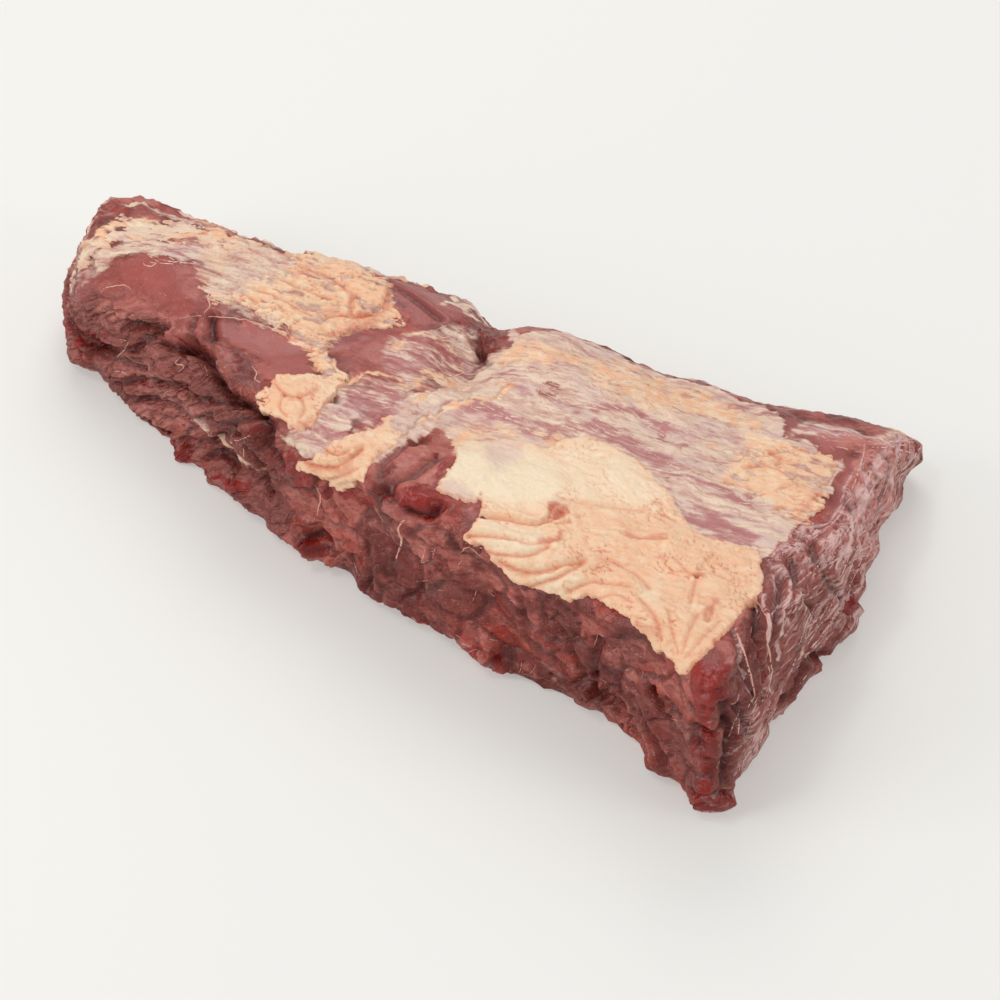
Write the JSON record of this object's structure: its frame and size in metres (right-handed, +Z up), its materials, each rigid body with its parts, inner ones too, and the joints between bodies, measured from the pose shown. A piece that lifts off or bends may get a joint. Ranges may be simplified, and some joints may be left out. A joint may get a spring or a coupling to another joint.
{
  "type": "flap steak",
  "caption": "Whole raw beef flap, a thick tapering block of meat lying fat side up, with a narrow rounded tail and a wide, obliquely cut butt end.",
  "frame": {"origin": "centre of the bounding box, at the flat underside", "axes": "+X from the narrow tail to the wide butt end, +Y from the tall near side to the thin far edge, +Z up"},
  "size_m": [0.3566, 0.1858, 0.0641],
  "materials": {
    "raw_beef": "moist raw beef, semi-gloss"
  },
  "bodies": {
    "root": {"flap_steak": "raw_beef"}
  },
  "joints": []
}
